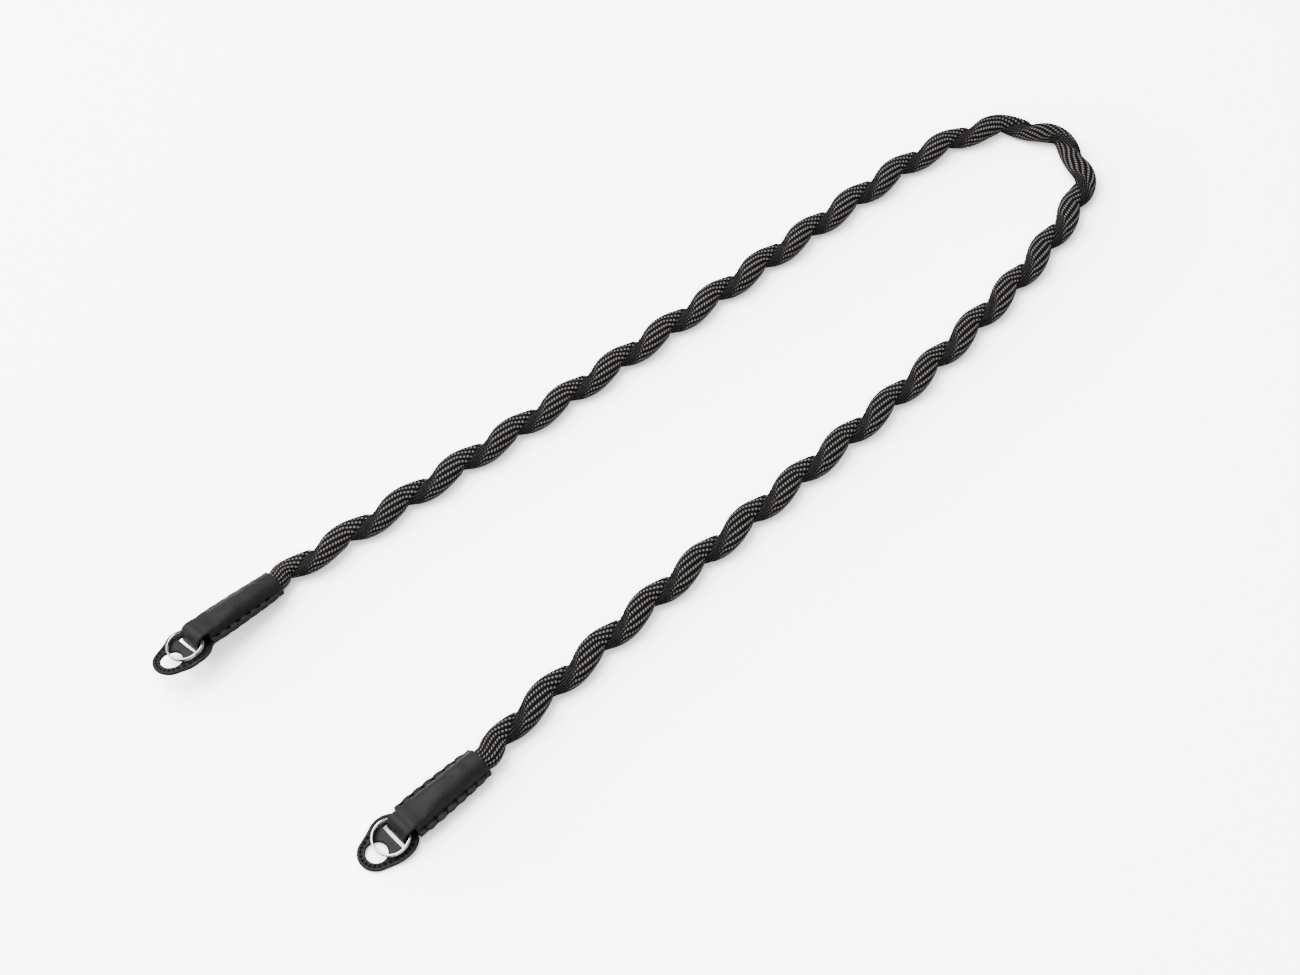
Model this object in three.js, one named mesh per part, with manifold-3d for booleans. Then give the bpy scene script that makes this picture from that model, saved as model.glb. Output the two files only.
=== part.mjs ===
// Camera neck strap: a waved woven rope lying in a hairpin, with a leather sleeve, a split ring
// and an egg-shaped leather patch at each end. Millimetres, +Z up, and Z = 0 is the table.
// X runs along the hairpin, from its two open ends to its bend.

import * as THREE from 'three';
import { mergeVertices } from 'three/addons/utils/BufferGeometryUtils.js';
import Module from 'manifold-3d';

const wasm = await Module();
wasm.setup();

// Clearance between pieces that touch, and the move that brings the footprint's middle to the origin.
const GAP = 0.3;
const FOOTPRINT_SHIFT = [-0.55, 0.87, 0];

// Woven rope: its section, its side to side waves and the slanting groove between two waves.
const ROPE_WIDTH = 9.8;
const ROPE_HEIGHT = 7;
const ROPE_SIDES = 12;
const ROPE_SQUARENESS = 0.85;
const WAVE_LENGTH = 29.4;
const WAVE_STEPS = 8;
const WAVE_SWING = 1.4;
const WAVE_LIFT = 0.5;
const WAVE_FADE = 10;
const FIRST_CREST_STEP = 7;
const GROOVE_DEPTH = 0.9;
const GROOVE_SPREAD = 0.13;

// Route of the rope's middle from the left sleeve round the bend to the right sleeve: x, y and, where
// the rope comes down from a sleeve, how far it is still raised.
const REST_Z = ROPE_HEIGHT / 2 + WAVE_LIFT;
const ROUTE = [
  [-163, 62.6, 0.4], [-134, 61.1], [-102, 60], [-68, 58.8], [-32, 58], [5, 57.8], [42, 57.8], [79, 58],
  [115, 58.3], [150, 58.5], [182, 57.8], [207.5, 54], [225.5, 47.5], [237, 36], [242, 24], [241, 12],
  [236, 1.5], [227.5, -6.5], [217, -11.5], [198, -17.5], [175, -23.2], [134, -30], [97, -34.6], [60, -37.6],
  [22, -39.7], [-16, -41.8], [-53, -44.2], [-88, -47], [-120, -50], [-150, -53.4],
];

// The two leather ends. Each has its own frame: x towards the tip, y to the left of that, z up
// from the leather's underside, with the ring's swing axis above its origin.
const ENDS = [
  { side: 'left', x: -226.5, y: 58, heading: 185, pitch: 8.5, roll: 11.5, lift: 6.2 },
  { side: 'right', x: -212.5, y: -60.4, heading: 183.3, pitch: 0, roll: 0, lift: 0 },
];

// Split ring of two flat turns, and the axis that it swings about inside the folded tongue.
const RING_OUTER_RADIUS = 8;
const WIRE_WIDTH = 1.25;
const WIRE_HEIGHT = 0.8;
const TURN_PITCH = 0.9;
const TURN_STEPS = 30;
const CROSSOVER = THREE.MathUtils.degToRad(20);
const CROSSOVER_AT = THREE.MathUtils.degToRad(250);
const RING_HEIGHT = TURN_PITCH + WIRE_HEIGHT;
const SWING_RADIUS = 5.96;
const SWING_Z = 5.4;

// Leather sleeve and tongue.
const LEATHER = 1.1;
const TURN_UNDER = 1;
const TONGUE_WIDTH = 11;
const TONGUE_ROOT = -5;
const FOLD_BORE = 2.55;
const FOLD_FOOT = 1.6;
const SEAM_Z = 4.6;
const SEAM_THICKNESS = 2.2;
const BULGE_ROUNDNESS = 0.6;
const SLEEVE_POINTS = 12;
const MOUTH_X = -40.2;
const SLEEVE_FRONT_X = -2.8;
const SOCKET_END_X = -19;
const ROPE_AXIS_Z = LEATHER + GAP + ROPE_HEIGHT / 2;
const SLEEVE_OUTSIDE = [
  { x: MOUTH_X, seamHalf: 6.3, bulgeHalf: 6.25, flatness: 2.2, top: 9.8 },
  { x: -35, seamHalf: 6.8, bulgeHalf: 6.4, flatness: 2.3, top: 10 },
  { x: -28, seamHalf: 7.4, bulgeHalf: 6.5, flatness: 2.4, top: 10 },
  { x: SOCKET_END_X, seamHalf: 8, bulgeHalf: 6.6, flatness: 2.6, top: 9.8 },
  { x: -13, seamHalf: 8.3, bulgeHalf: 6.9, flatness: 3.4, top: 9.3 },
  { x: -7, seamHalf: 8.3, bulgeHalf: 7, flatness: 5, top: 8.9 },
  { x: SLEEVE_FRONT_X, seamHalf: 8, bulgeHalf: 7, flatness: 6, top: 9 },
];
const SLEEVE_INSIDE = [
  { x: MOUTH_X - 1, half: ROPE_WIDTH / 2 + GAP, bottom: LEATHER, top: 8.7 },
  { x: SOCKET_END_X + GAP, half: ROPE_WIDTH / 2 + GAP, bottom: LEATHER, top: 8.7 },
  { x: -13, half: 5.3, bottom: LEATHER, top: 8.1 },
  { x: -7, half: 5.5, bottom: TURN_UNDER, top: 7.8 },
  { x: SLEEVE_FRONT_X + 1, half: 5.5, bottom: TURN_UNDER, top: 7.9 },
];

// Patch: an egg outline round two circles, raised at its rear where the tongue passes beneath it.
const PATCH_THICKNESS = 1.6;
const PATCH_REAR_X = SLEEVE_FRONT_X + GAP;
const PATCH_WIDE = { x: 4.2, radius: 10 };
const PATCH_TIP = { x: 13.4, radius: 7.8 };
const PATCH_STEP_UP = { from: 11.5, to: 5.6, height: TURN_UNDER + GAP };
const LUG_HOLE_RADIUS = 4.45;
const SLIT = { rear: FOLD_BORE - GAP, front: FOLD_BORE + LEATHER + 1.6, length: 12.2 };
const ROUND_SIDES = 32;

const radians = THREE.MathUtils.degToRad;
const signedPower = (value, power) => Math.sign(value) * Math.abs(value) ** power;

// Closed skin over a row of rings with equal point counts, with a fan over each end and faces out.
function closedLoft(rings) {
  const sides = rings[0].length;
  const points = rings.flat();
  const faces = [];
  for (let ring = 0; ring + 1 < rings.length; ring += 1) {
    for (let side = 0; side < sides; side += 1) {
      const a = ring * sides + side;
      const b = ring * sides + (side + 1) % sides;
      faces.push([a, b, b + sides], [a, b + sides, a + sides]);
    }
  }
  for (const ring of [0, rings.length - 1]) {
    const middle = new THREE.Vector3();
    rings[ring].forEach((point) => middle.addScaledVector(point, 1 / sides));
    points.push(middle);
    for (let side = 0; side < sides; side += 1) {
      const a = ring * sides + side;
      const b = ring * sides + (side + 1) % sides;
      faces.push(ring === 0 ? [b, a, points.length - 1] : [a, b, points.length - 1]);
    }
  }
  const sixVolumes = faces.map(([a, b, c]) => points[a].dot(points[b].clone().cross(points[c])));
  const insideOut = sixVolumes.reduce((sum, value) => sum + value, 0) < 0;
  const geometry = new THREE.BufferGeometry().setFromPoints(points);
  geometry.setIndex(faces.flatMap(([a, b, c]) => (insideOut ? [a, c, b] : [a, b, c])));
  return geometry;
}

// Solid of a closed geometry, for cutting and joining.
function toSolid(geometry) {
  const bare = geometry.clone();
  bare.deleteAttribute('normal');
  bare.deleteAttribute('uv');
  const merged = mergeVertices(bare, 1e-5);
  return new wasm.Manifold(new wasm.Mesh({
    numProp: 3,
    vertProperties: new Float32Array(merged.attributes.position.array),
    triVerts: new Uint32Array(merged.index.array),
  }));
}

function fromSolid(solid) {
  const mesh = solid.getMesh();
  const geometry = new THREE.BufferGeometry();
  geometry.setAttribute('position', new THREE.BufferAttribute(mesh.vertProperties, 3));
  geometry.setIndex(new THREE.BufferAttribute(mesh.triVerts, 1));
  return geometry;
}

// Frame of a leather end: heading on the table, then its nose up, then roll about its own length.
function endFrame(end) {
  const heading = new THREE.Matrix4().makeRotationZ(radians(end.heading));
  const pitch = new THREE.Matrix4().makeRotationY(radians(-end.pitch));
  const roll = new THREE.Matrix4().makeRotationX(radians(end.roll));
  const place = new THREE.Matrix4().makeTranslation(end.x, end.y, end.lift);
  return place.multiply(heading).multiply(pitch).multiply(roll);
}

// Points on a sleeve's axis, from the rope's cut end out through the mouth and a little beyond.
function socketPoints(end) {
  return [SOCKET_END_X, (SOCKET_END_X + MOUTH_X) / 2, MOUTH_X, MOUTH_X - 6].map(
    (x) => new THREE.Vector3(x, 0, ROPE_AXIS_Z).applyMatrix4(endFrame(end)),
  );
}

// Rope: each edge swings in round bumps with a sharp crease between them, and the crease on one
// side faces the bump on the other. A groove slants over the top from crease to crease.
function ropeGeometry() {
  const [left, right] = ENDS;
  const curve = new THREE.CatmullRomCurve3([
    ...socketPoints(left),
    ...ROUTE.map(([x, y, raised = 0]) => new THREE.Vector3(x, y, REST_Z + raised)),
    ...socketPoints(right).reverse(),
  ]);
  curve.arcLengthDivisions = 4000;
  const length = curve.getLength();
  const steps = Math.round((length * WAVE_STEPS) / WAVE_LENGTH);
  const socketDepth = SOCKET_END_X - MOUTH_X;
  const rings = [];
  for (let step = 0; step <= steps; step += 1) {
    const along = (step / steps) * length;
    const middle = curve.getPointAt(step / steps);
    const tangent = curve.getTangentAt(step / steps);
    const fromLeft = along - socketDepth;
    const fromRight = length - socketDepth - along;
    const swing = THREE.MathUtils.smoothstep(Math.min(fromLeft, fromRight), 0, WAVE_FADE);
    const leftRoll = radians(left.roll) * (1 - THREE.MathUtils.smoothstep(fromLeft, 0, 2 * WAVE_LENGTH));
    const across = new THREE.Vector3(-tangent.y, tangent.x, 0).normalize();
    across.applyAxisAngle(tangent, -leftRoll);
    const up = tangent.clone().cross(across);
    const phase = (step - FIRST_CREST_STEP) / WAVE_STEPS;
    rings.push(ropeSection(phase, swing).map(
      ([v, w]) => middle.clone().addScaledVector(across, v).addScaledVector(up, w),
    ));
  }
  return closedLoft(rings);
}

// Section of the rope at a phase of its wave, as pairs across and up from the rope's middle.
function ropeSection(phase, swing) {
  const rise = WAVE_SWING * swing;
  const outerEdge = ROPE_WIDTH / 2 + rise * (2 * Math.abs(Math.cos(Math.PI * phase)) - 1);
  const innerEdge = -ROPE_WIDTH / 2 + rise * (1 - 2 * Math.abs(Math.sin(Math.PI * phase)));
  return Array.from({ length: ROPE_SIDES }, (_, side) => {
    const turn = (2 * Math.PI * side) / ROPE_SIDES;
    const sideways = signedPower(Math.cos(turn), ROPE_SQUARENESS);
    const upwards = signedPower(Math.sin(turn), ROPE_SQUARENESS);
    const fromGroove = phase - 0.25 - 0.25 * sideways;
    const nearest = (fromGroove - Math.round(fromGroove)) / GROOVE_SPREAD;
    const groove = GROOVE_DEPTH * swing * Math.max(0, upwards) * Math.exp(-nearest * nearest);
    const across = (outerEdge + innerEdge) / 2 + ((outerEdge - innerEdge) / 2) * sideways;
    const lift = -WAVE_LIFT * swing * Math.sin(2 * Math.PI * phase);
    return [across, (ROPE_HEIGHT / 2) * upwards + lift - groove];
  });
}

// Outside of the sleeve: a bulge over the rope between two sewn seams that widen towards the ring.
function sleeveOutside({ x, seamHalf, bulgeHalf, flatness, top }) {
  const ring = [];
  for (const face of [1, -1]) {
    const seamFace = SEAM_Z + (face * SEAM_THICKNESS) / 2;
    const crown = face > 0 ? top : 0;
    for (let point = 0; point < SLEEVE_POINTS; point += 1) {
      const y = seamHalf * face * Math.cos((Math.PI * point) / (SLEEVE_POINTS - 1));
      const outwards = Math.min(1, Math.abs(y) / bulgeHalf);
      const bulge = (1 - outwards ** flatness) ** BULGE_ROUNDNESS;
      ring.push(new THREE.Vector3(x, y, seamFace + (crown - seamFace) * bulge));
    }
  }
  return ring;
}

// Inside of the sleeve: a socket round the rope that runs on, flatter, into the folded tongue.
function sleeveInside({ x, half, bottom, top }) {
  return Array.from({ length: 2 * ROPE_SIDES }, (_, side) => {
    const turn = (Math.PI * side) / ROPE_SIDES;
    const y = half * signedPower(Math.cos(turn), ROPE_SQUARENESS);
    const z = ((top - bottom) / 2) * signedPower(Math.sin(turn), ROPE_SQUARENESS);
    return new THREE.Vector3(x, y, (top + bottom) / 2 + z);
  });
}

// Tongue: out of the sleeve's top, round the ring, down through the slit and back underneath.
function tongueGeometry() {
  const bore = FOLD_BORE;
  const outside = FOLD_BORE + LEATHER;
  const footX = outside - FOLD_FOOT;
  const outline = new THREE.Shape();
  outline.moveTo(TONGUE_ROOT, SWING_Z + outside);
  outline.lineTo(0, SWING_Z + outside);
  outline.absarc(0, SWING_Z, outside, Math.PI / 2, 0, true);
  outline.absarc(footX, FOLD_FOOT, FOLD_FOOT, 0, -Math.PI / 2, true);
  outline.lineTo(TONGUE_ROOT, 0);
  outline.lineTo(TONGUE_ROOT, TURN_UNDER);
  outline.absarc(footX, FOLD_FOOT, FOLD_FOOT - LEATHER, -Math.PI / 2, 0, false);
  outline.absarc(0, SWING_Z, bore, 0, Math.PI / 2, false);
  outline.lineTo(TONGUE_ROOT, SWING_Z + bore);
  const geometry = new THREE.ExtrudeGeometry(outline, {
    depth: TONGUE_WIDTH, bevelEnabled: false, curveSegments: 9,
  });
  geometry.rotateX(Math.PI / 2);
  return geometry.translate(0, TONGUE_WIDTH / 2, 0);
}

function sleeveGeometry() {
  const outside = toSolid(closedLoft(SLEEVE_OUTSIDE.map(sleeveOutside)));
  const inside = toSolid(closedLoft(SLEEVE_INSIDE.map(sleeveInside)));
  return fromSolid(outside.subtract(inside).add(toSolid(tongueGeometry())));
}

// Half width of the patch's egg outline, where the two circles are joined by their common tangents.
function patchHalfWidth(x) {
  const spread = PATCH_TIP.x - PATCH_WIDE.x;
  const slope = Math.asin((PATCH_WIDE.radius - PATCH_TIP.radius) / spread);
  const circle = ({ x: middle, radius }) => Math.sqrt(Math.max(0, radius ** 2 - (x - middle) ** 2));
  if (x < PATCH_WIDE.x + PATCH_WIDE.radius * Math.sin(slope)) {
    return circle(PATCH_WIDE);
  }
  if (x > PATCH_TIP.x + PATCH_TIP.radius * Math.sin(slope)) {
    return circle(PATCH_TIP);
  }
  return PATCH_WIDE.radius / Math.cos(slope) - (x - PATCH_WIDE.x) * Math.tan(slope);
}

// Patch: flat round the lug hole and stepped up at the rear, with the hole and the slit cut through.
function patchGeometry() {
  const { from, to, height } = PATCH_STEP_UP;
  const straight = [PATCH_REAR_X, -1.5, 0.5, 2, 4, to, 7, 8.5, 10, from, PATCH_TIP.x, 15.6];
  const tipTurns = [70, 60, 50, 40, 30, 20, 10, 3];
  const tip = tipTurns.map((turn) => PATCH_TIP.x + PATCH_TIP.radius * Math.cos(radians(turn)));
  const rings = [...straight, ...tip].map((x) => {
    const half = patchHalfWidth(x);
    const bottom = height * (1 - THREE.MathUtils.smoothstep(x, to, from));
    const corners = [[half, 0], [half, PATCH_THICKNESS], [-half, PATCH_THICKNESS], [-half, 0]];
    return corners.map(([y, z]) => new THREE.Vector3(x, y, bottom + z));
  });
  const deep = 10;
  const hole = new THREE.CylinderGeometry(LUG_HOLE_RADIUS, LUG_HOLE_RADIUS, deep, ROUND_SIDES);
  hole.rotateX(Math.PI / 2).translate(PATCH_TIP.x, 0, 0);
  const slit = new THREE.BoxGeometry(SLIT.front - SLIT.rear, SLIT.length, deep);
  slit.translate((SLIT.front + SLIT.rear) / 2, 0, 0);
  return fromSolid(toSolid(closedLoft(rings)).subtract(toSolid(hole)).subtract(toSolid(slit)));
}

// Split ring: two flat turns of wire, joined by a short step from the lower turn to the upper one.
function ringGeometry() {
  const middleRadius = RING_OUTER_RADIUS - WIRE_WIDTH / 2;
  const [halfWidth, halfHeight] = [WIRE_WIDTH / 2, WIRE_HEIGHT / 2];
  const wire = [
    [-halfWidth, -halfHeight], [halfWidth / 2, -halfHeight], [halfWidth, -halfHeight / 3],
    [halfWidth, halfHeight / 3], [halfWidth / 2, halfHeight], [-halfWidth, halfHeight],
  ];
  const start = 1.2 * CROSSOVER;
  const sweep = 4 * Math.PI - 2 * start;
  const rings = [];
  for (let step = 0; step <= 2 * TURN_STEPS; step += 1) {
    const turn = start + (sweep * step) / (2 * TURN_STEPS);
    const climb = THREE.MathUtils.smoothstep(turn - 2 * Math.PI, -CROSSOVER, CROSSOVER);
    const level = TURN_PITCH * (climb - 0.5);
    const angle = turn + CROSSOVER_AT;
    rings.push(wire.map(([r, z]) => new THREE.Vector3(
      SWING_RADIUS + (middleRadius + r) * Math.cos(angle),
      (middleRadius + r) * Math.sin(angle),
      level + z,
    )));
  }
  return closedLoft(rings);
}

function part(name, geometry, { color, roughness, metalness }) {
  const material = new THREE.MeshStandardMaterial({ color, roughness, metalness });
  const mesh = new THREE.Mesh(geometry, material);
  mesh.name = name;
  return mesh;
}

const WOVEN = { color: 0x1b1a19, roughness: 0.85, metalness: 0 };
const SMOOTH_LEATHER = { color: 0x252423, roughness: 0.5, metalness: 0 };
const PATCH_LEATHER = { color: 0x222120, roughness: 0.6, metalness: 0 };
const POLISHED_STEEL = { color: 0xd8d8d6, roughness: 0.15, metalness: 1 };

// One leather end: sleeve with tongue, patch under the tongue, and the ring lying down on the patch.
function leatherEnd(end) {
  const group = new THREE.Group();
  group.applyMatrix4(endFrame(end));
  const ring = part(`${end.side}_ring`, ringGeometry(), POLISHED_STEEL);
  const drop = SWING_Z - RING_HEIGHT / 2 - PATCH_THICKNESS - GAP;
  ring.position.z = SWING_Z;
  ring.rotation.y = Math.asin(drop / (SWING_RADIUS + RING_OUTER_RADIUS));
  group.add(
    part(`${end.side}_sleeve`, sleeveGeometry(), SMOOTH_LEATHER),
    part(`${end.side}_patch`, patchGeometry(), PATCH_LEATHER),
    ring,
  );
  return group;
}

const strap = new THREE.Group();
strap.position.set(...FOOTPRINT_SHIFT);
strap.add(part('rope', ropeGeometry(), WOVEN));
ENDS.forEach((end) => strap.add(leatherEnd(end)));

export default strap;
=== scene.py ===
import math
import bpy
import numpy as np
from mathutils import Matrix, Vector


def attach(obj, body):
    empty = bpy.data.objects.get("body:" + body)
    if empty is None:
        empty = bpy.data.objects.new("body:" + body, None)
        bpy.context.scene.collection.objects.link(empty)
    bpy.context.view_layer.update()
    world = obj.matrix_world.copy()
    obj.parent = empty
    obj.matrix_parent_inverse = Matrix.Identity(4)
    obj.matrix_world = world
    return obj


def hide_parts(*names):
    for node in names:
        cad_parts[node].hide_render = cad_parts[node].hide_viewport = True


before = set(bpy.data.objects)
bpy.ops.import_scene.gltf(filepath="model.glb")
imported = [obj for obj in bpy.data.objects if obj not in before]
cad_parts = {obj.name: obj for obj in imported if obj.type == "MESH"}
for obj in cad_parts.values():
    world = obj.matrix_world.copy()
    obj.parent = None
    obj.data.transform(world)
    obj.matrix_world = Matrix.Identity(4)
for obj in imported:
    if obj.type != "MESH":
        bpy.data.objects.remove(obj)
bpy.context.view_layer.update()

# Sizes are in millimetres in the strap's own frame and become metres when a mesh is made.
MM = 0.001
FOOTPRINT_SHIFT = np.array([-0.55, 0.87, 0.0])
GAP = 0.3
TABLE_BLUR, TABLE_SAMPLES = 1.6, 9


def smoothstep(x, low, high):
    """0 up to low, 1 from high on, and an easy S between them."""
    t = np.clip((np.asarray(x, float) - low) / (high - low), 0.0, 1.0)
    return t * t * (3 - 2 * t)


def signed_power(x, power):
    """A power of x's size that keeps x's sign. A power under 1 makes a round section squarer."""
    return np.sign(x) * np.abs(x) ** power


def smooth_table(table, column, x):
    """A table's column at x, straight between its rows and then rounded by a short running mean."""
    rows = np.array(table)
    spread = np.linspace(-TABLE_BLUR, TABLE_BLUR, TABLE_SAMPLES)
    return np.mean([np.interp(x + d, rows[:, 0], rows[:, column]) for d in spread], axis=0)


def run_along(line):
    """Distance along a line of points, from 0 at its first point."""
    return np.concatenate([[0], np.cumsum(np.linalg.norm(np.diff(line, axis=0), axis=1))])


def end_cap(loop):
    """A sheet that closes a loop of points towards its own middle."""
    return np.stack([loop, np.broadcast_to(loop.mean(0), loop.shape)])


# Camera

camera = bpy.data.objects.new("camera", bpy.data.cameras.new("camera"))
bpy.context.scene.collection.objects.link(camera)
camera.data.sensor_fit = "HORIZONTAL"
camera.data.sensor_width = 36.0
camera.data.lens = 62.25
camera.location = (np.array([-386.405, -409.846, 800.725]) + FOOTPRINT_SHIFT) * MM
camera.rotation_euler = (math.radians(34.0), 0.0, math.radians(-40.706))
bpy.context.scene.camera = camera


# Meshes

def quads(rows, columns, wrap_rows=False, wrap_columns=False):
    """Corner numbers of the faces of a grid of points that is stored row by row."""
    r = np.arange(rows if wrap_rows else rows - 1)
    c = np.arange(columns if wrap_columns else columns - 1)
    r0, c0 = [a.ravel() for a in np.meshgrid(r, c, indexing="ij")]
    r1, c1 = (r0 + 1) % rows, (c0 + 1) % columns
    return np.stack([r0 * columns + c0, r1 * columns + c0, r1 * columns + c1, r0 * columns + c1], 1)


def make_piece(name, sheets, material, body="strap", stands_for=None):
    """One object from several grids. Each sheet is a dict with points (rows, columns, 3) in millimetres,
    wrap flags, flip, and per-point extras: uv (rows, columns, 2) and tone (rows, columns)."""
    points, faces, uvs, tones, start = [], [], [], [], 0
    for sheet in sheets:
        grid = np.asarray(sheet["points"], float)
        rows, columns = grid.shape[:2]
        found = quads(rows, columns, sheet.get("wrap_rows", False), sheet.get("wrap_columns", False))
        faces.append((found[:, ::-1] if sheet.get("flip") else found) + start)
        points.append(grid.reshape(-1, 3))
        uvs.append(np.asarray(sheet.get("uv", np.zeros((rows, columns, 2)))).reshape(-1, 2))
        tones.append(np.broadcast_to(sheet.get("tone", 0.0), (rows, columns)).reshape(-1))
        start += rows * columns
    points, faces = np.concatenate(points) * MM, np.concatenate(faces)
    mesh = bpy.data.meshes.new(name)
    mesh.from_pydata(points.tolist(), [], faces.tolist())
    mesh.polygons.foreach_set("use_smooth", np.ones(len(faces), bool))
    layer = mesh.uv_layers.new(name="weave")
    layer.data.foreach_set("uv", np.concatenate(uvs)[faces.ravel()].ravel())
    tone = mesh.attributes.new("tone", "FLOAT", "POINT")
    tone.data.foreach_set("value", np.concatenate(tones).astype(np.float32))
    mesh.update()
    piece = bpy.data.objects.new(name, mesh)
    bpy.context.scene.collection.objects.link(piece)
    mesh.materials.append(material)
    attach(piece, body)
    if stands_for:
        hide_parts(stands_for)
    return piece


# Materials

class Nodes:
    """Short hand for building a material's node tree."""

    def __init__(self, name):
        self.material = bpy.data.materials.new(name)
        self.material.use_nodes = True
        self.tree = self.material.node_tree
        self.shader = self.tree.nodes["Principled BSDF"]

    def add(self, kind, **settings):
        node = self.tree.nodes.new(kind)
        for key, value in settings.items():
            setattr(node, key, value)
        return node

    def link(self, source, target):
        self.tree.links.new(source, target)

    def feed(self, socket, value):
        """A number is set on the socket itself, and an output is linked to it."""
        if isinstance(value, (int, float)):
            socket.default_value = value
        else:
            self.link(value, socket)

    def math(self, operation, a, b=0.0, c=0.0):
        node = self.add("ShaderNodeMath", operation=operation)
        for socket, value in zip(node.inputs, (a, b, c)):
            self.feed(socket, value)
        return node.outputs[0]

    def object_point(self):
        return self.add("ShaderNodeTexCoord").outputs["Object"]

    def tone(self):
        """The piece's own tone: 0 on a face, towards 1 on cut edges, in holes or on raised thread. On the
        tracer thread it drives painted shade where the thread sinks.
        """
        return self.add("ShaderNodeAttribute", attribute_name="tone").outputs["Fac"]

    def weave(self):
        """The two numbers of the piece's own UV map."""
        split = self.add("ShaderNodeSeparateXYZ")
        self.link(self.add("ShaderNodeUVMap", uv_map="weave").outputs["UV"], split.inputs[0])
        return split.outputs[0], split.outputs[1]

    def noise(self, scale, detail):
        node = self.add("ShaderNodeTexNoise")
        self.link(self.object_point(), node.inputs["Vector"])
        node.inputs["Scale"].default_value = scale
        node.inputs["Detail"].default_value = detail
        node.inputs["Roughness"].default_value = 0.55
        return node.outputs["Fac"]

    def cells(self, scale):
        """Soft pebbles: distance from the middle of the nearest cell."""
        node = self.add("ShaderNodeTexVoronoi", feature="SMOOTH_F1")
        self.link(self.object_point(), node.inputs["Vector"])
        node.inputs["Scale"].default_value = scale
        node.inputs["Smoothness"].default_value = 0.6
        return node.outputs["Distance"]

    def ramp(self, value, stops):
        """Colour that goes from a first stop to a second one."""
        node = self.add("ShaderNodeValToRGB")
        self.link(value, node.inputs["Fac"])
        for element, (place, colour) in zip(node.color_ramp.elements, stops):
            element.position = place
            element.color = (*colour, 1.0)
        return node.outputs["Color"]

    def mix(self, factor, a, b):
        node = self.add("ShaderNodeMix", data_type="RGBA")
        self.feed(node.inputs["Factor"], factor)
        for socket, value in ((node.inputs[6], a), (node.inputs[7], b)):
            if isinstance(value, tuple):
                socket.default_value = (*value, 1.0)
            else:
                self.link(value, socket)
        return node.outputs[2]

    def span(self, value, low, high):
        """A value from 0 to 1 spread from low to high."""
        node = self.add("ShaderNodeMapRange")
        self.link(value, node.inputs["Value"])
        node.inputs["To Min"].default_value = low
        node.inputs["To Max"].default_value = high
        return node.outputs["Result"]

    def bump(self, height, distance, strength, under=None):
        """Relief of a height, its distance in millimetres, on top of an earlier relief if one is given."""
        node = self.add("ShaderNodeBump")
        node.inputs["Distance"].default_value = distance * MM
        node.inputs["Strength"].default_value = strength
        self.link(height, node.inputs["Height"])
        if under is not None:
            self.link(under, node.inputs["Normal"])
        return node.outputs["Normal"]


YARN_PITCH, YARN_SLANT = 0.72, 1.5
FULL_TURN = 2 * math.pi


def woven_black():
    """Black yarn: chevron ribs between the rows of tracer threads, from the rope's own length and row
    numbers."""
    n = Nodes("woven_black")
    along, row = n.weave()
    beside = n.math("ABSOLUTE", n.math("SUBTRACT", n.math("FRACT", row), 0.5))
    phase = n.math("MULTIPLY_ADD", along, 1 / YARN_PITCH, n.math("MULTIPLY", beside, YARN_SLANT))
    yarn = n.math("SINE", n.math("MULTIPLY", phase, FULL_TURN))
    fibre = n.noise(5200, 2)
    black = n.mix(n.noise(900, 3), (0.0006, 0.0006, 0.0006), (0.0021, 0.002, 0.002))
    n.link(black, n.shader.inputs["Base Color"])
    n.link(n.span(fibre, 0.62, 0.86), n.shader.inputs["Roughness"])
    n.shader.inputs["Specular IOR Level"].default_value = 0.06
    ribs = n.bump(yarn, 0.09, 0.7)
    n.link(n.bump(fibre, 0.05, 0.5, ribs), n.shader.inputs["Normal"])
    return n.material


def tracer_thread():
    """Warm grey thread with fine lengthwise filaments, with painted shade: darker where it dives under the
    black yarn and towards its edges.
    """
    n = Nodes("tracer_thread")
    across = n.weave()[1]
    filaments = n.math("SINE", n.math("MULTIPLY", across, 26.0))
    # The colour follows the tone, which is high on a raised crown: painted shade where the thread sinks under
    # the black yarn and at its edges.
    raised = n.ramp(n.tone(), [(0.3, (0.006, 0.006, 0.006)), (0.78, (0.118, 0.11, 0.102))])
    n.link(n.mix(n.noise(700, 2), raised, (0.075, 0.069, 0.064)), n.shader.inputs["Base Color"])
    n.shader.inputs["Roughness"].default_value = 0.7
    n.shader.inputs["Specular IOR Level"].default_value = 0.15
    n.link(n.bump(filaments, 0.03, 0.5), n.shader.inputs["Normal"])
    return n.material


def leather(name, dark, light, rough, grain):
    """Black leather: pebbled grain, a slow variation of colour and shine, and matt cut edges and holes."""
    n = Nodes(name)
    pebbles = n.cells(1000.0 / grain)
    slow = n.noise(110, 3)
    fine = n.noise(3600, 3)
    body = n.mix(slow, dark, light)
    worn = n.mix(n.math("MULTIPLY", pebbles, 0.5), body, tuple(1.5 * c for c in light))
    n.link(n.mix(n.tone(), worn, (0.004, 0.004, 0.004)), n.shader.inputs["Base Color"])
    shine = n.math("MULTIPLY_ADD", slow, 0.16, n.math("MULTIPLY_ADD", fine, 0.14, rough - 0.15))
    n.link(n.math("MULTIPLY_ADD", n.tone(), 0.3, shine), n.shader.inputs["Roughness"])
    n.shader.inputs["Specular IOR Level"].default_value = 0.13
    creases = n.bump(n.noise(420, 3), 0.2, 0.55)
    grainy = n.bump(pebbles, 0.12, 0.7, creases)
    n.link(n.bump(fine, 0.03, 0.4, grainy), n.shader.inputs["Normal"])
    return n.material


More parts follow.
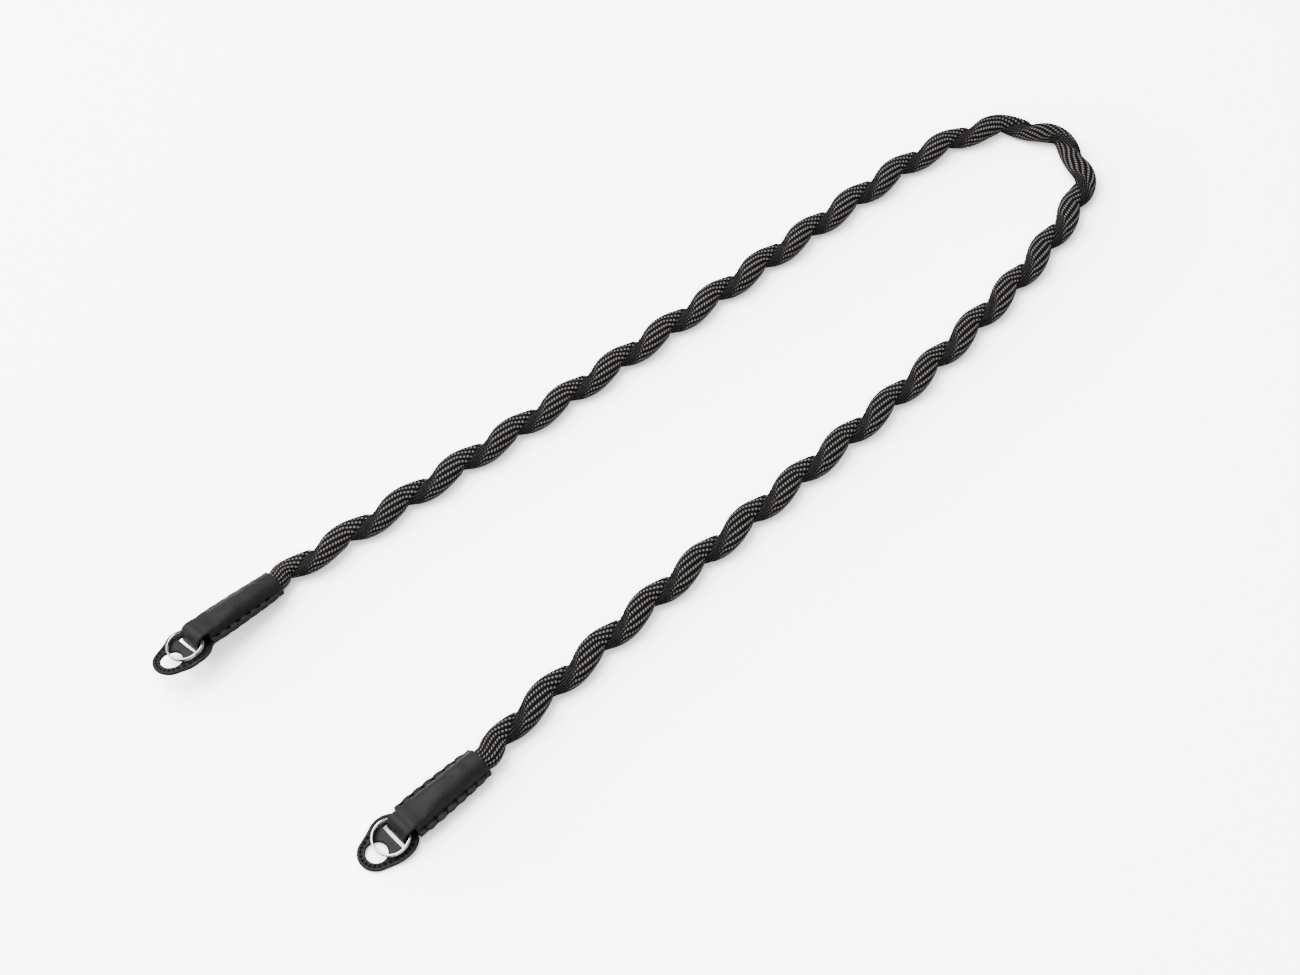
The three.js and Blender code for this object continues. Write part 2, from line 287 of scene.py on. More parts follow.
def sewing_thread(dark, light):
    """Waxed sewing thread, twisted: slanting strands from its own length and turn round."""
    n = Nodes("sewing_thread")
    along, turn = n.weave()
    slanting = n.math("MULTIPLY_ADD", along, 1.6, n.math("MULTIPLY", turn, 3.0))
    strands = n.math("SINE", n.math("MULTIPLY", slanting, FULL_TURN))
    # The colour follows the strands' height: painted shade in the grooves between the strands, lighter on
    # their crests.
    n.link(n.mix(n.math("MULTIPLY_ADD", strands, 0.5, 0.5), dark, light), n.shader.inputs["Base Color"])
    n.shader.inputs["Roughness"].default_value = 0.7
    n.shader.inputs["Specular IOR Level"].default_value = 0.03
    n.link(n.bump(strands, 0.06, 0.7), n.shader.inputs["Normal"])
    return n.material


def polished_steel():
    """Bright steel with fine drawn lines along the wire and a slight tarnish."""
    n = Nodes("polished_steel")
    turn = n.weave()[1]
    lines = n.math("SINE", n.math("MULTIPLY", turn, 190.0))
    tarnish = n.noise(260, 4)
    n.link(n.mix(tarnish, (0.4, 0.385, 0.36), (0.24, 0.228, 0.21)), n.shader.inputs["Base Color"])
    n.shader.inputs["Metallic"].default_value = 1.0
    n.link(n.span(tarnish, 0.08, 0.2), n.shader.inputs["Roughness"])
    n.link(n.bump(lines, 0.004, 0.25), n.shader.inputs["Normal"])
    return n.material


TOWARDS_KEY = (-0.32, 0.55, 0.77)
SHADE_REACH, SHADE_POWER = 0.06, 1.8
FLOOR_GLOW, GLOW_FOR_CAMERA = 0.9, 4.2


def pale_floor():
    """White table that glows a little, less where the object keeps the key light's side of the sky from it: a
    painted shadow.
    The camera sees more of the glow than the object gets."""
    n = Nodes("pale_floor")
    n.link(n.mix(n.noise(6, 2), (0.9, 0.9, 0.9), (0.92, 0.92, 0.92)), n.shader.inputs["Base Color"])
    n.shader.inputs["Roughness"].default_value = 0.9
    n.shader.inputs["Specular IOR Level"].default_value = 0.1
    n.shader.inputs["Emission Color"].default_value = (1.0, 1.0, 1.0, 1.0)
    towards_key = n.add("ShaderNodeCombineXYZ")
    for socket, value in zip(towards_key.inputs, TOWARDS_KEY):
        socket.default_value = value
    shade = n.add("ShaderNodeAmbientOcclusion", samples=12)
    shade.inputs["Distance"].default_value = SHADE_REACH
    n.link(towards_key.outputs[0], shade.inputs["Normal"])
    by_camera = n.add("ShaderNodeLightPath").outputs["Is Camera Ray"]
    glow = n.math("MULTIPLY_ADD", by_camera, GLOW_FOR_CAMERA, FLOOR_GLOW)
    open_sky = n.math("POWER", shade.outputs["AO"], SHADE_POWER)
    n.link(n.math("MULTIPLY", open_sky, glow), n.shader.inputs["Emission Strength"])
    return n.material


WOVEN = woven_black()
TRACER = tracer_thread()
SLEEVE_LEATHER = leather("sleeve_leather", (0.0018, 0.0018, 0.0019), (0.0052, 0.0051, 0.005), 0.58, 0.55)
PATCH_LEATHER = leather("patch_leather", (0.0016, 0.0016, 0.0017), (0.0045, 0.0044, 0.0044), 0.54, 0.7)
SEWING = sewing_thread((0.0005, 0.0005, 0.0005), (0.002, 0.002, 0.002))
STEEL = polished_steel()


# Leather ends: each has its own frame, x towards the tip, y to the left of that and z up from the underside.
ENDS = {
    "left": dict(x=-226.5, y=58.0, heading=185.0, pitch=8.5, roll=11.5, lift=6.2),
    "right": dict(x=-212.5, y=-60.4, heading=183.3, pitch=0.0, roll=0.0, lift=0.0),
}


def placed(points, side):
    """Points of a leather end's own frame in the strap's frame: rolled, nose up, turned on the table and
    moved."""
    end = ENDS[side]
    h, p, r = (math.radians(end[k]) for k in ("heading", "pitch", "roll"))
    heading = np.array([[math.cos(h), -math.sin(h), 0], [math.sin(h), math.cos(h), 0], [0, 0, 1]])
    pitch = np.array([[math.cos(p), 0, -math.sin(p)], [0, 1, 0], [math.sin(p), 0, math.cos(p)]])
    roll = np.array([[1, 0, 0], [0, math.cos(r), -math.sin(r)], [0, math.sin(r), math.cos(r)]])
    turn = heading @ pitch @ roll
    return np.asarray(points, float) @ turn.T + np.array([end["x"], end["y"], end["lift"]]) + FOOTPRINT_SHIFT


# Rope

ROPE_WIDTH, ROPE_HEIGHT, ROPE_SQUARENESS = 9.8, 7.0, 0.85
WAVE_LENGTH, WAVE_SWING, WAVE_LIFT, WAVE_FADE = 29.4, 1.7, 0.5, 6.0
WAVE_STEPS, FIRST_CREST_STEP = 8, 7  # steps in a wave, and the step with the first outer crest
REST_Z = ROPE_HEIGHT / 2 + WAVE_LIFT
LEATHER = 1.1
MOUTH_X, SLEEVE_FRONT_X, SOCKET_END_X = -40.2, -2.8, -19.0
ROPE_AXIS_Z = LEATHER + GAP + ROPE_HEIGHT / 2
STRAIGHT_PAST_MOUTH = 6
ROUTE = [  # x, y and height above the rope's rest, from the left mouth round the bend to the right mouth
    (-163, 62.6, 0.4), (-134, 61.1, 0), (-102, 60, 0), (-68, 58.8, 0), (-32, 58, 0), (5, 57.8, 0),
    (42, 57.8, 0), (79, 58, 0), (115, 58.3, 0), (150, 58.5, 0), (182, 57.8, 0), (207.5, 54, 0),
    (225.5, 47.5, 0), (237, 36, 0), (242, 24, 0), (241, 12, 0), (236, 1.5, 0), (227.5, -6.5, 0),
    (217, -11.5, 0), (198, -17.5, 0), (175, -23.2, 0), (134, -30, 0), (97, -34.6, 0), (60, -37.6, 0),
    (22, -39.7, 0), (-16, -41.8, 0), (-53, -44.2, 0), (-88, -47, 0), (-120, -50, 0), (-150, -53.4, 0),
]
ROUTE_STEPS, TANGENT_STEP, SECTION_STEPS = 120, 0.4, 1440
ROWS, ROW_VALLEY, RIB_ROUNDNESS = 16, 0.34, 0.8
NECK, THREAD_DRIFT, DRIFT_FADE = 0.3, 1.9, 0.6 * WAVE_LENGTH
DRIFT_STEPS, DRIFT_STEP = 30, 0.45
PHASE_LAG, LAG_FADE = 0.12, (60.0, 420.0)
GROOVE_DEPTH, GROOVE_EASY, GROOVE_STEEP, GROOVE_ON_TOP = 1.5, 0.17, 0.035, 0.45
SWELL_HEIGHT, SWELL_AT, SWELL_LONG = 0.35, 0.68, 0.24


def socket_points(side):
    """Points on the rope's axis inside a sleeve, from its end to a little past the mouth."""
    xs = np.array([SOCKET_END_X, (SOCKET_END_X + MOUTH_X) / 2, MOUTH_X, MOUTH_X - STRAIGHT_PAST_MOUTH])
    return placed(np.stack([xs, 0 * xs, 0 * xs + ROPE_AXIS_Z], 1), side)


def through_points(points, per_span):
    """Smooth line through points: on each span a cubic whose end slopes come from its neighbours, with each
    span's share of the parameter set by the square root of its length."""
    p = np.vstack([2 * points[0] - points[1], points, 2 * points[-1] - points[-2]])
    dt = np.sqrt(np.linalg.norm(np.diff(p, axis=0), axis=1))[:, None]
    p0, p1, p2, p3 = p[:-3], p[1:-2], p[2:-1], p[3:]
    d0, d1, d2 = dt[:-2], dt[1:-1], dt[2:]
    m1 = ((p1 - p0) / d0 - (p2 - p0) / (d0 + d1) + (p2 - p1) / d1) * d1
    m2 = ((p2 - p1) / d1 - (p3 - p1) / (d1 + d2) + (p3 - p2) / d2) * d1
    t = np.linspace(0, 1, per_span, endpoint=False)[None, :, None]
    a, b, m, k = (v[:, None, :] for v in (p1, p2, m1, m2))
    line = a + m * t + (-3 * a + 3 * b - 2 * m - k) * t ** 2 + (2 * a - 2 * b + m + k) * t ** 3
    return np.vstack([line.reshape(-1, 3), points[-1]])


route = np.array(ROUTE, float) + np.array([0, 0, REST_Z])
route_line = through_points(np.vstack([
    socket_points("left"), route + FOOTPRINT_SHIFT, socket_points("right")[::-1],
]), ROUTE_STEPS)
route_run = run_along(route_line)
ROPE_LENGTH = route_run[-1]
WAVE = ROPE_LENGTH / (round(ROPE_LENGTH * WAVE_STEPS / WAVE_LENGTH) / WAVE_STEPS)
SOCKET_DEPTH = SOCKET_END_X - MOUTH_X


def on_route(s):
    """Point of the rope's axis at run s."""
    return np.stack([np.interp(s, route_run, route_line[:, k]) for k in range(3)], -1)


section_turns = np.linspace(0, 2 * np.pi, SECTION_STEPS + 1)
section_line = np.stack([ROPE_WIDTH / 2 * signed_power(np.cos(section_turns), ROPE_SQUARENESS),
                         ROPE_HEIGHT / 2 * signed_power(np.sin(section_turns), ROPE_SQUARENESS)], 1)
section_run = run_along(section_line)
GIRTH = section_run[-1]


def section_turn(around):
    """Angle in the section's formula for a share of the girth."""
    return np.interp(around % 1.0, section_run / GIRTH, section_turns)


def wave_phase(s):
    """Waves counted along the rope from its first outer crest. Near the left mouth the rope lags a little."""
    return s / WAVE - FIRST_CREST_STEP / WAVE_STEPS - PHASE_LAG * (1 - smoothstep(s, *LAG_FADE))


def second_half(s):
    """0 on the rope's first half and 1 on its second, with one wave's length of change in the bend."""
    return smoothstep(s, 0.5 * (ROPE_LENGTH - WAVE), 0.5 * (ROPE_LENGTH + WAVE))


def past_groove(s, around):
    """How far a place lies past the groove along the rope's run, in waves from 0 to 1. Over the top the
    groove runs from the outer edge's crease to the inner edge's, and underneath it runs on to the next
    outer crease."""
    turn = section_turn(around)
    sideways = signed_power(np.cos(turn), ROPE_SQUARENESS)
    line = np.where(np.sin(turn) >= 0, 0.25 + 0.25 * sideways, 0.75 - 0.25 * sideways)
    return (wave_phase(s) - line) % 1.0


def drift_past(past):
    """A thread's sideways place past the groove: back from 1 to -1 through the neck, then evenly on to 1."""
    return np.where(past < NECK, 1 - 2 * smoothstep(past, 0.0, NECK), -1 + 2 * (past - NECK) / (1 - NECK))


def thread_share(s, thread):
    """Share around the section where a thread lies at run s. Through each lobe the threads drift across the
    top, and in the neck beside the groove they come back, mirrored on the rope's second half. The groove's
    own place depends on the share, so the share is found by repeated part steps."""
    turned = second_half(s)
    from_mouth = np.minimum(s - SOCKET_DEPTH, ROPE_LENGTH - SOCKET_DEPTH - s)
    drift_size = smoothstep(from_mouth, 0, DRIFT_FADE) * THREAD_DRIFT
    around = thread + 0 * s
    for _ in range(DRIFT_STEPS):
        past = past_groove(s, around)
        drift = (1 - turned) * drift_past(past) - turned * drift_past(1 - past)
        around = around + DRIFT_STEP * (thread + drift_size * drift / GIRTH - around)
    return around


def groove_depth(past):
    """Depth of the groove: steep on the lobe that it ends and easy on the neck of the next one."""
    return GROOVE_DEPTH * (np.exp(-(past / GROOVE_EASY) ** 2) + np.exp(-((1 - past) / GROOVE_STEEP) ** 2))


def lobe_swell(past):
    """How far a lobe swells out behind its neck."""
    return SWELL_HEIGHT * np.exp(-((past - SWELL_AT) / SWELL_LONG) ** 2)


def rope_surface(s, thread, lift):
    """Point of the rope at run s on a thread, which is counted by girth from the outer side over the top, and
    lift out from the skin. The section is a squared ellipse. Its two edges swing in round bumps with sharp
    creases, half a wave apart, and one groove winds on from crease to crease like a screw thread, deepest
    towards the edges, steep on the lobe's side and easy on the side where the next lobe comes out from under
    it. On the rope's second half the groove's sides are mirrored."""
    s, thread, lift = np.broadcast_arrays(s, thread, lift)
    around = thread_share(s, thread)
    middle = on_route(s)
    tangent = on_route(np.minimum(s + TANGENT_STEP, ROPE_LENGTH)) - on_route(np.maximum(s - TANGENT_STEP, 0))
    tangent /= np.linalg.norm(tangent, axis=-1, keepdims=True)
    from_left, from_right = s - SOCKET_DEPTH, ROPE_LENGTH - SOCKET_DEPTH - s
    swing = smoothstep(np.minimum(from_left, from_right), 0, WAVE_FADE)
    roll = -math.radians(ENDS["left"]["roll"]) * (1 - smoothstep(from_left, 0, 2 * WAVE_LENGTH))
    flat = np.stack([-tangent[..., 1], tangent[..., 0], 0 * s], -1)
    flat /= np.linalg.norm(flat, axis=-1, keepdims=True)
    up = np.cross(tangent, flat)
    across = flat * np.cos(roll)[..., None] + up * np.sin(roll)[..., None]
    up = np.cross(tangent, across)
    phase = wave_phase(s)
    turn = section_turn(around)
    sideways = signed_power(np.cos(turn), ROPE_SQUARENESS)
    upwards = signed_power(np.sin(turn), ROPE_SQUARENESS)
    past, turned = past_groove(s, around), second_half(s)
    groove = swing * ((1 - turned) * groove_depth(past) + turned * groove_depth(1 - past))
    groove = groove * (GROOVE_ON_TOP + (1 - GROOVE_ON_TOP) * sideways ** 2)
    swell = swing * ((1 - turned) * lobe_swell(past) + turned * lobe_swell(1 - past)) * (upwards > 0)
    rise = WAVE_SWING * swing
    outer = ROPE_WIDTH / 2 + rise * (2 * np.abs(np.cos(np.pi * phase)) - 1)
    inner = -ROPE_WIDTH / 2 + rise * (1 - 2 * np.abs(np.sin(np.pi * phase)))
    half = (outer - inner) / 2
    wide = np.cos(turn) / half
    tall = np.sin(turn) / (ROPE_HEIGHT / 2)
    out = (lift + (swell - groove) * np.abs(upwards) ** 0.5) / np.hypot(wide, tall)
    v = (outer + inner) / 2 + half * sideways + out * wide
    w = ROPE_HEIGHT / 2 * upwards - WAVE_LIFT * swing * np.sin(2 * np.pi * phase) + out * tall
    return middle + across * v[..., None] + up * w[..., None]


ROPE_RINGS, ROPE_COLUMNS = 1520, ROWS * 4
s_grid = np.linspace(0, ROPE_LENGTH, ROPE_RINGS)[:, None]
k_grid = (np.arange(ROPE_COLUMNS + 1) / ROPE_COLUMNS)[None, :]
rib = ROW_VALLEY * (np.abs(np.cos(np.pi * ROWS * k_grid)) ** RIB_ROUNDNESS - 1)
rope_uv = np.stack(np.broadcast_arrays(s_grid, k_grid * ROWS), -1)
rope_skin = rope_surface(s_grid, k_grid, rib)
rope = make_piece("rope_weave", [
    dict(points=rope_skin, uv=rope_uv),
    dict(points=end_cap(rope_skin[0]), flip=True),
    dict(points=end_cap(rope_skin[-1])),
], WOVEN, stands_for="rope")

# Tracer threads: a ribbon in each valley between two ribs. It comes up in short slanting dashes, and where
# the weave is drawn thin beside the groove it lies as a narrow unbroken line.
DASH_PITCH, DASH_WIDTH, DASH_SLANT, DASH_STAGGER, DASH_EDGE = 1.4, 1.15, 0.75, 0.37, (-0.85, 0.15)
THIN_STARTS, THIN_ENDS, THIN_NARROWS, THIN_HEIGHT = (0.0, 0.02), (0.16, 0.28), 0.68, 0.55
TRACER_CROWN, TRACER_BED, TRACER_RISE = 0.82, 0.22, 0.62
TRACER_STEP, TRACER_COLUMNS, TRACER_TUCK = 0.2333, 4, 4
tracer_run = np.arange(SOCKET_DEPTH - TRACER_TUCK, ROPE_LENGTH - SOCKET_DEPTH + TRACER_TUCK, TRACER_STEP)


def tracer_sheet(row):
    """One tracer: a narrow crowned ribbon along its thread, whose height follows the dashes."""
    side = np.linspace(-1, 1, TRACER_COLUMNS)[None, :]
    middle_share = (row + 0.5) / ROWS
    past = past_groove(tracer_run, thread_share(tracer_run, middle_share))
    past = np.where(second_half(tracer_run) < 0.5, past, 1 - past)
    thin = (smoothstep(past, *THIN_STARTS) * (1 - smoothstep(past, *THIN_ENDS)))[:, None]
    width = DASH_WIDTH * (1 - THIN_NARROWS * thin)
    beat = np.cos(2 * np.pi * (tracer_run / DASH_PITCH + DASH_STAGGER * row))[:, None]
    dash = smoothstep(beat, *DASH_EDGE)
    raised = dash + (THIN_HEIGHT - dash) * thin
    crown = np.sqrt(1 - TRACER_CROWN * side ** 2)
    height = -ROW_VALLEY - TRACER_BED + TRACER_RISE * raised * crown
    sheared = tracer_run[:, None] - DASH_SLANT * side * width / 2 * (1 - thin)
    share = middle_share + side * width / 2 / GIRTH
    # tone: the raised crown of a dash; the tracer material paints shade where it is low and at the ribbon's
    # edges.
    return dict(points=rope_surface(sheared, share, height), tone=raised * crown,
                uv=np.stack(np.broadcast_arrays(tracer_run[:, None], side), -1))


TRACER_ROWS = {"rope_tracers_above": range(ROWS // 2), "rope_tracers_below": range(ROWS // 2, ROWS)}
tracers = [
    make_piece(name, [tracer_sheet(row) for row in rows], TRACER)
    for name, rows in TRACER_ROWS.items()
]


# Leather sleeve and tongue

SWING_Z, FOLD_BORE, FOLD_FOOT, TONGUE_WIDTH = 5.4, 2.55, 1.6, 11.0
SEAM_Z, SEAM_THICKNESS, BULGE_ROUNDNESS = 4.6, 2.2, 0.6
SEAM_TOP, SEAM_BOTTOM = SEAM_Z + SEAM_THICKNESS / 2, SEAM_Z - SEAM_THICKNESS / 2
SLEEVE_OUTSIDE = [  # x, seam half width, bulge half width, flatness, top
    (MOUTH_X, 6.8, 6.1, 2.3, 9.8), (-35, 7.4, 6.1, 2.4, 10), (-28, 7.8, 6.1, 2.5, 10),
    (SOCKET_END_X, 8.1, 6.1, 2.6, 9.8), (-13, 8.3, 6.3, 3.4, 9.3), (-7, 8.3, 6.4, 5, 8.9),
    (SLEEVE_FRONT_X, 8, 6.5, 6, 9),
]
SLEEVE_INSIDE = [  # x, half width, bottom, top
    (MOUTH_X, ROPE_WIDTH / 2 + GAP, LEATHER, 8.7), (SOCKET_END_X + GAP, ROPE_WIDTH / 2 + GAP, LEATHER, 8.7),
    (-13, 5.3, LEATHER, 8.1), (-7, 5.5, 1.0, 7.8), (SLEEVE_FRONT_X, 5.5, 1.0, 7.9),
]
CREASE_HEIGHT, LIP_BEAD, RIM_ROUND = 0.16, 0.22, 0.28
SKIN_ROWS, SKIN_COLUMNS, LIP_COLUMNS, RIM_ROWS, LINING_ROWS = 150, 49, 5, 6, 40
LIP_TONE, RIM_TONE, LINING_TONE, TONGUE_CUT_TONE = 0.55, 0.45, 0.6, 0.5
STITCH_PITCH, FIRST_STITCH, STITCH_COUNT, STITCH_RADIUS = 5.25, -37.6, 7, 0.36
STITCH_IN, DENT_DEPTH, DENT_LONG, DENT_WIDE = 1.35, 0.5, 1.05, 0.55
SCALLOP, SCALLOP_ROUNDNESS, SCALLOP_MIDDLE = {"left": 0.22, "right": 0.6}, 0.8, 0.75
STITCH_LINE = {  # along the seam, out from its edge, height
    "left": [
        (-1.5, -1.4, SEAM_TOP - 0.6), (-1.15, -1.37, SEAM_TOP - 0.2), (-0.6, -1.35, SEAM_TOP - 0.06),
        (0.0, -1.35, SEAM_TOP - 0.02), (0.6, -1.35, SEAM_TOP - 0.06), (1.15, -1.37, SEAM_TOP - 0.2),
        (1.5, -1.4, SEAM_TOP - 0.6),
    ],
    "right": [
        (-0.75, -1.7, SEAM_TOP - 0.5), (-0.5, -1.3, SEAM_TOP + 0.05), (-0.1, -0.5, SEAM_TOP + 0.12),
        (0.1, 0.16, SEAM_Z + 0.5), (0.1, 0.16, SEAM_Z - 0.5), (0.4, -0.5, SEAM_BOTTOM - 0.12),
        (0.8, -1.3, SEAM_BOTTOM - 0.05), (1.0, -1.7, SEAM_BOTTOM + 0.5),
    ],
}


def seam_half(x, side):
    """Half width over the sewn seams: it draws in at each stitch and bellies out between two stitches."""
    belly = np.abs(np.sin(np.pi * (x - FIRST_STITCH) / STITCH_PITCH)) ** SCALLOP_ROUNDNESS
    return smooth_table(SLEEVE_OUTSIDE, 1, x) + SCALLOP[side] * (belly - SCALLOP_MIDDLE)


def sleeve_skin(x, t, face, side):
    """Outside of the sleeve at x, where t goes from one seam to the other and face is 1 above and -1 below:
    a bulge over the rope that falls to the flat seams, dented at the stitches, with soft creases above."""
    half = seam_half(x, side)
    y = half * face * np.cos(t)
    bulge_half = smooth_table(SLEEVE_OUTSIDE, 2, x)
    flatness = smooth_table(SLEEVE_OUTSIDE, 3, x)
    bulge = (1 - np.clip(np.abs(y) / bulge_half, 0, 1) ** flatness) ** BULGE_ROUNDNESS
    crown = smooth_table(SLEEVE_OUTSIDE, 4, x) if face > 0 else 0.0 * x
    level = SEAM_TOP if face > 0 else SEAM_BOTTOM
    z = level + (crown - level) * bulge
    if face > 0:
        wander = np.sin(0.55 * x + 0.35 * y + 1.2 * np.sin(0.21 * x)) * np.sin(0.4 * y + 0.13 * x)
        z = z + CREASE_HEIGHT * wander * bulge * smoothstep(x, MOUTH_X, MOUTH_X + 6)
    stitch = (x - FIRST_STITCH) / STITCH_PITCH
    from_stitch = (stitch - np.round(stitch)) * STITCH_PITCH
    from_line = np.abs(y) - half + STITCH_IN
    dent = DENT_DEPTH * np.exp(-(from_stitch / DENT_LONG) ** 2 - (from_line / DENT_WIDE) ** 2)
    return np.stack(np.broadcast_arrays(x, y, z - face * dent), -1)


def sleeve_sheets(side):
    """Outside, inside and the two rims of the sleeve, and the folded tongue that comes out of its front."""
    between = np.linspace(MOUTH_X + 0.25, SLEEVE_FRONT_X - 0.25, SKIN_ROWS)
    x = np.concatenate([[MOUTH_X], between, [SLEEVE_FRONT_X]])[:, None]
    t = np.linspace(0, np.pi, SKIN_COLUMNS)[None, :]
    above, below = sleeve_skin(x, t, 1, side), sleeve_skin(x, t, -1, side)
    lip = np.linspace(0, 1, LIP_COLUMNS + 2)[1:-1][None, :, None]
    bead = LIP_BEAD * (np.abs(np.sin(2 * np.pi * lip)) - 0.15)

    def edge(a, b, way):
        """The seam's cut edge between the upper and the lower skin: a bead for each of the two layers."""
        line = a[:, None] + (b - a)[:, None] * lip
        line[..., 1:2] += way * bead
        return line

    outside = np.concatenate([
        above, edge(above[:, -1], below[:, 0], -1), below, edge(below[:, -1], above[:, 0], 1),
    ], 1)
    tone = np.concatenate([np.zeros(SKIN_COLUMNS), np.full(LIP_COLUMNS, LIP_TONE)] * 2)

    def inside(at):
        """The socket's wall at x, a squared ellipse like the rope's section."""
        half, bottom, top = (smooth_table(SLEEVE_INSIDE, k, at) for k in (1, 2, 3))
        half_turn = np.concatenate([t[0], np.full(LIP_COLUMNS, np.pi)])
        turns = np.concatenate([half_turn, half_turn + np.pi])
        y = half * signed_power(np.cos(turns), ROPE_SQUARENESS)
        z = (top + bottom) / 2 + (top - bottom) / 2 * signed_power(np.sin(turns), ROPE_SQUARENESS)
        return np.stack(np.broadcast_arrays(at, y, z), -1)

    def rim(loop, hole, way):
        """A rounded rim from the outside's loop to the socket's."""
        share = np.linspace(0, 1, RIM_ROWS)[:, None, None]
        sheet = loop[None] + (hole[None] - loop[None]) * share
        sheet[..., 0] += way * RIM_ROUND * np.sin(np.pi * share[..., 0]) ** 0.6
        return sheet

    lining = inside(np.linspace(MOUTH_X, SLEEVE_FRONT_X, LINING_ROWS)[:, None])
    mouth_in, front_in = inside(np.array([[MOUTH_X]]))[0], inside(np.array([[SLEEVE_FRONT_X]]))[0]
    sheets = [
        dict(points=outside, wrap_columns=True, tone=tone),
        dict(points=rim(outside[0], mouth_in, -1), wrap_columns=True, flip=True, tone=RIM_TONE),
        dict(points=rim(outside[-1], front_in, 1), wrap_columns=True, tone=RIM_TONE),
        dict(points=lining, wrap_columns=True, flip=True, tone=LINING_TONE),
        *tongue_sheets(),
    ]
    return [{**sheet, "points": placed(sheet["points"], side)} for sheet in sheets]


TONGUE_BACK_X, TONGUE_TAIL_X, TONGUE_DIP, SHOULDER_SAG = -9.0, -4.2, 0.06, 0.55
LAP_LOW, LAP_RISE, LAP_RISE_X, ON_SLEEVE_X = 0.05, 0.15, (-8, -3.5), (1.6, 3.4)
STRIP_EDGE_POWER, STRIP_FACE_POWER = 0.12, 0.35
TOP_STEPS, BEND_STEPS, HEEL_STEPS, TAIL_STEPS, STRIP_COLUMNS = 40, 26, 14, 12, 72


def tongue_sheets():
    """The tongue: a rounded strip carried along a line that leaves the sleeve's top, dips, goes round the
    ring, down through the patch's slit and back underneath."""
    middle = FOLD_BORE + LEATHER / 2
    foot = FOLD_FOOT - LEATHER / 2
    foot_x = FOLD_BORE + LEATHER - FOLD_FOOT
    top_x = np.linspace(TONGUE_BACK_X, 0, TOP_STEPS)
    over_ring = SWING_Z + middle - TONGUE_DIP * np.exp(-((top_x + 1.5) / 1.0) ** 2)
    above_sleeve = LAP_LOW + LAP_RISE * smoothstep(top_x, *LAP_RISE_X)
    on_sleeve = smooth_table(SLEEVE_OUTSIDE, 4, top_x) - LEATHER / 2 + above_sleeve
    lapped = smoothstep(-top_x, *ON_SLEEVE_X)
    top_z = over_ring * (1 - lapped) + on_sleeve * lapped
    bend = np.linspace(np.pi / 2, 0, BEND_STEPS)[1:]
    heel = np.linspace(0, -np.pi / 2, HEEL_STEPS)
    tail_x = np.linspace(foot_x, TONGUE_TAIL_X, TAIL_STEPS)[1:]
    line = np.concatenate([
        np.stack([top_x, top_z], 1),
        np.stack([middle * np.cos(bend), SWING_Z + middle * np.sin(bend)], 1),
        np.stack([foot_x + foot * np.cos(heel), FOLD_FOOT + foot * np.sin(heel)], 1),
        np.stack([tail_x, np.full(len(tail_x), LEATHER / 2)], 1),
    ])
    slope = np.gradient(line, axis=0)
    slope /= np.linalg.norm(slope, axis=1, keepdims=True)
    normal = np.stack([-slope[:, 1], slope[:, 0]], 1)
    turn = np.linspace(0, 2 * np.pi, STRIP_COLUMNS, endpoint=False)
    across = TONGUE_WIDTH / 2 * signed_power(np.cos(turn), STRIP_EDGE_POWER)
    through = LEATHER / 2 * signed_power(np.sin(turn), STRIP_FACE_POWER)
    y = np.broadcast_to(across[None, :], (len(line), STRIP_COLUMNS))
    shoulder = (np.arange(len(line)) < TOP_STEPS)[:, None] * smoothstep(-line[:, :1], 1.5, 4.0)
    sag = shoulder * SHOULDER_SAG * np.abs(y / (TONGUE_WIDTH / 2)) ** 5
    x = line[:, :1] + normal[:, :1] * through[None, :]
    z = line[:, 1:] + normal[:, 1:] * through[None, :] - sag
    cut = smoothstep(np.abs(np.cos(turn)), 0.2, 0.9) * (np.abs(np.sin(turn)) < 0.5)
    strip = np.stack([x, y, z], -1)
    return [dict(points=strip, wrap_columns=True, tone=TONGUE_CUT_TONE * cut),
            dict(points=end_cap(strip[0]), wrap_columns=True, flip=True, tone=TONGUE_CUT_TONE),
            dict(points=end_cap(strip[-1]), wrap_columns=True, tone=TONGUE_CUT_TONE)]


THREAD_SIDES, STITCH_STEPS = 10, 5
OFF_EVERY_STITCH = [0.31, 0.17, 0.93]  # a direction that no stitch runs along


def tube(line, radius):
    """A round thread carried along a line, closed to a point at both ends."""
    slope = np.gradient(line, axis=0)
    slope /= np.linalg.norm(slope, axis=1, keepdims=True)
    flat = np.cross(slope, OFF_EVERY_STITCH)
    flat /= np.linalg.norm(flat, axis=1, keepdims=True)
    up = np.cross(flat, slope)
    turn = np.linspace(0, 2 * np.pi, THREAD_SIDES, endpoint=False)
    share = np.linspace(0, 1, len(line))
    reach = radius * np.clip(np.sin(np.pi * share), 0, 1) ** 0.35
    ring = flat[:, None] * np.cos(turn)[None, :, None] + up[:, None] * np.sin(turn)[None, :, None]
    uv = np.stack(np.broadcast_arrays(run_along(line)[:, None], turn[None, :] / (2 * np.pi)), -1)
    return dict(points=line[:, None] + ring * reach[:, None, None], wrap_columns=True, uv=uv)


def seam_stitches(side):
    """Stitches along both seams: on the right sleeve each lies over the edge and draws it in, on the left
    sleeve they run along inside the edge."""
    sheets = []
    for at in FIRST_STITCH + STITCH_PITCH * np.arange(STITCH_COUNT):
        half = float(seam_half(np.array([at]), side)[0])
        for way in (1, -1):
            corners = (np.array(STITCH_LINE[side]) + [at, half, 0]) * [1, way, 1]
            sheets.append(tube(placed(through_points(corners, STITCH_STEPS), side), STITCH_RADIUS))
    return sheets


# Patch

